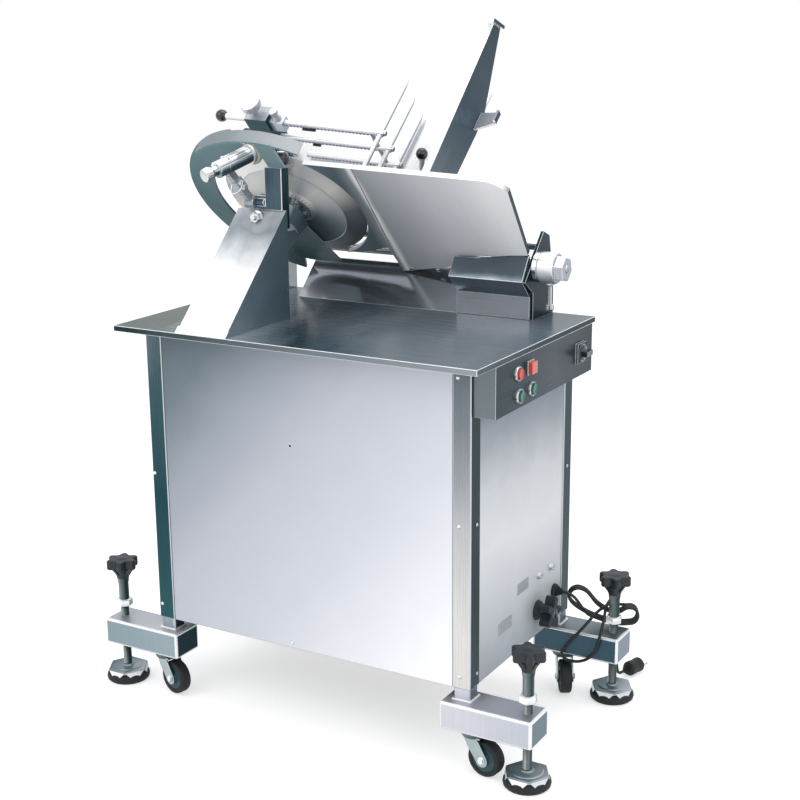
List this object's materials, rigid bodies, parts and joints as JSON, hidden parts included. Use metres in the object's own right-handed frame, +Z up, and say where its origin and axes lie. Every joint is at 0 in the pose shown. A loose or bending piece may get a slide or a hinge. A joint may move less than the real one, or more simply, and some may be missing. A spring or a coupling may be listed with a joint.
{
  "type": "automatic meat slicer",
  "caption": "Floor-standing meat slicer: tilted round blade, gauge plate, sliding hopper and stone sharpener on a wheeled steel cabinet with levelling feet.",
  "frame": {"origin": "on the floor, under the middle of the machine's box without its mains cord", "axes": "+X to the right as the operator sees it, +Y to the back, +Z up"},
  "size_m": [1.1038, 0.7066, 1.4595],
  "materials": {
    "brushed_steel": "satin stainless steel, brushed",
    "white_steel": "pale satin sheet, almost white",
    "dark_steel": "polished stainless steel",
    "chrome": "bright plating",
    "black_plastic": "black, soft gloss",
    "black_rubber": "black, matt",
    "zinc": "zinc plated pressed steel",
    "red_plastic": "red cap",
    "orange_plastic": "clear orange-red lens",
    "green_plastic": "green cap",
    "stone": "bonded stone, fine grit",
    "motor_paint": "grey machine enamel"
  },
  "bodies": {
    "root": {"corner_leg_front_right": "dark_steel", "corner_leg_front_left": "dark_steel", "corner_leg_rear_right": "dark_steel", "corner_leg_rear_left": "dark_steel", "worktop": "brushed_steel", "bottom_tray": "dark_steel", "front_panel": "white_steel", "right_panel": "white_steel", "left_panel": "white_steel", "back_panel": "white_steel", "control_box": "brushed_steel", "pilot_lamp": "orange_plastic", "fuse_holder_front": "chrome", "fuse_holder_rear": "chrome", "cord_gland": "black_plastic", "cord_lead": "black_rubber", "cord_hank": "black_rubber", "cord_tail": "black_rubber", "plug": "black_rubber", "drive_motor": "motor_paint", "column": "white_steel", "rear_housing": "brushed_steel", "end_plate": "brushed_steel", "guide_rails": "chrome", "blade_guard": "brushed_steel", "slice_deflector": "brushed_steel", "guard_arm": "brushed_steel"},
    "gauge": {"gauge_plate": "dark_steel"},
    "thickness_control": {"thickness_nut": "chrome"},
    "blade": {"blade": "brushed_steel"},
    "sharpener": {"sharpener": "chrome"},
    "stone": {"grinding_stone": "stone"},
    "guard_knob": {"guard_knob": "black_plastic"},
    "carriage": {"carriage_tray": "brushed_steel", "carriage_wall": "brushed_steel", "fence_bracket": "white_steel"},
    "fence": {"meat_fence": "chrome"},
    "fence_knob": {"fence_knob": "white_steel"},
    "clamp": {"clamp_lever": "chrome"},
    "stop_button": {"stop_button": "red_plastic"},
    "blade_button": {"blade_start_button": "green_plastic"},
    "carriage_button": {"carriage_start_button": "green_plastic"},
    "switch": {"switch_knob": "black_plastic"},
    "hand_knob": {"hand_knob": "black_plastic"},
    "foot_front_right": {"foot_pad_front_right": "black_rubber"},
    "jack_front_right": {"jack_screw_front_right": "black_plastic"},
    "caster_front_right": {"caster_fork_front_right": "zinc"},
    "wheel_front_right": {"caster_wheel_front_right": "black_rubber"},
    "foot_front_left": {"foot_pad_front_left": "black_rubber"},
    "jack_front_left": {"jack_screw_front_left": "black_plastic"},
    "caster_front_left": {"caster_fork_front_left": "zinc"},
    "wheel_front_left": {"caster_wheel_front_left": "black_rubber"},
    "foot_rear_right": {"foot_pad_rear_right": "black_rubber"},
    "jack_rear_right": {"jack_screw_rear_right": "black_plastic"},
    "caster_rear_right": {"caster_fork_rear_right": "zinc"},
    "wheel_rear_right": {"caster_wheel_rear_right": "black_rubber"},
    "foot_rear_left": {"foot_pad_rear_left": "black_rubber"},
    "jack_rear_left": {"jack_screw_rear_left": "black_plastic"},
    "caster_rear_left": {"caster_fork_rear_left": "zinc"},
    "wheel_rear_left": {"caster_wheel_rear_left": "black_rubber"}
  },
  "joints": [
    {"name": "carriage_slide", "type": "slide", "parent": "root", "child": "carriage", "axis": [1, 0, 0], "range_m": [-0.26, 0.1]},
    {"name": "fence_slide", "type": "slide", "parent": "carriage", "child": "fence", "axis": [0.9981, 0, -0.061], "range_m": [-0.12, 0.06]},
    {"name": "fence_knob_turn", "type": "hinge", "parent": "carriage", "child": "fence_knob", "pos_m": [-0.33495, 0.05878, 1.27531], "axis": [0.0432, -0.7071, 0.7058], "range_deg": [0, 360]},
    {"name": "clamp_swing", "type": "hinge", "parent": "carriage", "child": "clamp", "pos_m": [0.07665, 0.09131, 1.07586], "axis": [0.9981, 0, -0.061], "range_deg": [-30, 30]},
    {"name": "blade_spin", "type": "hinge", "parent": "root", "child": "blade", "pos_m": [-0.1915, 0.00504, 1.06844], "axis": [0, 0.7071, 0.7071], "continuous": true},
    {"name": "thickness_turn", "type": "hinge", "parent": "root", "child": "thickness_control", "pos_m": [0.3565, 0.11248, 0.96], "axis": [1, 0, 0], "range_deg": [0, 720]},
    {"name": "gauge_slide", "type": "slide", "parent": "root", "child": "gauge", "axis": [0, -0.7071, -0.7071], "range_m": [0, 0.012]},
    {"name": "sharpener_swing", "type": "hinge", "parent": "root", "child": "sharpener", "pos_m": [-0.2075, -0.12852, 1.092], "axis": [1, 0, 0], "range_deg": [0, 12]},
    {"name": "stone_spin", "type": "hinge", "parent": "sharpener", "child": "stone", "pos_m": [-0.1885, -0.14274, 1.19642], "axis": [0.2509, 0.9232, 0.291], "continuous": true},
    {"name": "guard_knob_turn", "type": "hinge", "parent": "root", "child": "guard_knob", "pos_m": [-0.1395, -0.11402, 1.184], "axis": [0, 0, 1], "range_deg": [0, 360]},
    {"name": "stop_press", "type": "slide", "parent": "root", "child": "stop_button", "axis": [-1, 0, 0], "range_m": [0, 0.004], "stiffness_N_per_m": 600, "springref_m": -0.001},
    {"name": "blade_press", "type": "slide", "parent": "root", "child": "blade_button", "axis": [-1, 0, 0], "range_m": [0, 0.004], "stiffness_N_per_m": 600, "springref_m": -0.001},
    {"name": "carriage_press", "type": "slide", "parent": "root", "child": "carriage_button", "axis": [-1, 0, 0], "range_m": [0, 0.004], "stiffness_N_per_m": 600, "springref_m": -0.001},
    {"name": "switch_turn", "type": "hinge", "parent": "root", "child": "switch", "pos_m": [0.4465, 0.11748, 0.788], "axis": [1, 0, 0], "range_deg": [0, 90]},
    {"name": "hand_knob_turn", "type": "hinge", "parent": "root", "child": "hand_knob", "pos_m": [0.4065, 0.03448, 0.236], "axis": [1, 0, 0], "range_deg": [0, 360]},
    {"name": "foot_lift_front_right", "type": "slide", "parent": "root", "child": "foot_front_right", "axis": [0, 0, 1], "range_m": [-0.01, 0.01]},
    {"name": "jack_turn_front_right", "type": "hinge", "parent": "foot_front_right", "child": "jack_front_right", "pos_m": [0.5035, -0.26102, 0.2], "axis": [0, 0, 1], "range_deg": [-1440, 1440]},
    {"name": "foot_lift_front_left", "type": "slide", "parent": "root", "child": "foot_front_left", "axis": [0, 0, 1], "range_m": [-0.01, 0.01]},
    {"name": "jack_turn_front_left", "type": "hinge", "parent": "foot_front_left", "child": "jack_front_left", "pos_m": [-0.5035, -0.26102, 0.2], "axis": [0, 0, 1], "range_deg": [-1440, 1440]},
    {"name": "foot_lift_rear_right", "type": "slide", "parent": "root", "child": "foot_rear_right", "axis": [0, 0, 1], "range_m": [-0.01, 0.01]},
    {"name": "jack_turn_rear_right", "type": "hinge", "parent": "foot_rear_right", "child": "jack_rear_right", "pos_m": [0.5035, 0.17798, 0.2], "axis": [0, 0, 1], "range_deg": [-1440, 1440]},
    {"name": "foot_lift_rear_left", "type": "slide", "parent": "root", "child": "foot_rear_left", "axis": [0, 0, 1], "range_m": [-0.01, 0.01]},
    {"name": "jack_turn_rear_left", "type": "hinge", "parent": "foot_rear_left", "child": "jack_rear_left", "pos_m": [-0.5035, 0.17798, 0.2], "axis": [0, 0, 1], "range_deg": [-1440, 1440]},
    {"name": "caster_swivel_front_right", "type": "hinge", "parent": "root", "child": "caster_front_right", "pos_m": [0.3865, -0.26102, 0.08], "axis": [0, 0, 1], "continuous": true},
    {"name": "wheel_roll_front_right", "type": "hinge", "parent": "caster_front_right", "child": "wheel_front_right", "pos_m": [0.41621, -0.26519, 0.0383], "axis": [0.1392, 0.9903, 0], "continuous": true},
    {"name": "caster_swivel_front_left", "type": "hinge", "parent": "root", "child": "caster_front_left", "pos_m": [-0.3865, -0.26102, 0.08], "axis": [0, 0, 1], "continuous": true},
    {"name": "wheel_roll_front_left", "type": "hinge", "parent": "caster_front_left", "child": "wheel_front_left", "pos_m": [-0.35739, -0.26828, 0.0383], "axis": [0.2419, 0.9703, 0], "continuous": true},
    {"name": "caster_swivel_rear_right", "type": "hinge", "parent": "root", "child": "caster_rear_right", "pos_m": [0.3865, 0.17798, 0.08], "axis": [0, 0, 1], "continuous": true},
    {"name": "wheel_roll_rear_right", "type": "hinge", "parent": "caster_rear_right", "child": "wheel_rear_right", "pos_m": [0.4015, 0.152, 0.0383], "axis": [0.866, 0.5, 0], "continuous": true},
    {"name": "caster_swivel_rear_left", "type": "hinge", "parent": "root", "child": "caster_rear_left", "pos_m": [-0.3865, 0.17798, 0.08], "axis": [0, 0, 1], "continuous": true},
    {"name": "wheel_roll_rear_left", "type": "hinge", "parent": "caster_rear_left", "child": "wheel_rear_left", "pos_m": [-0.35716, 0.17174, 0.0383], "axis": [0.2079, 0.9781, 0], "continuous": true}
  ],
  "couplings": [
    {"joint": "thickness_turn", "follows": "gauge_slide", "rad_per_m": 1047.2},
    {"joint": "jack_turn_front_right", "follows": "foot_lift_front_right", "rad_per_m": 2513.2},
    {"joint": "jack_turn_front_left", "follows": "foot_lift_front_left", "rad_per_m": 2513.2},
    {"joint": "jack_turn_rear_right", "follows": "foot_lift_rear_right", "rad_per_m": 2513.2},
    {"joint": "jack_turn_rear_left", "follows": "foot_lift_rear_left", "rad_per_m": 2513.2}
  ]
}
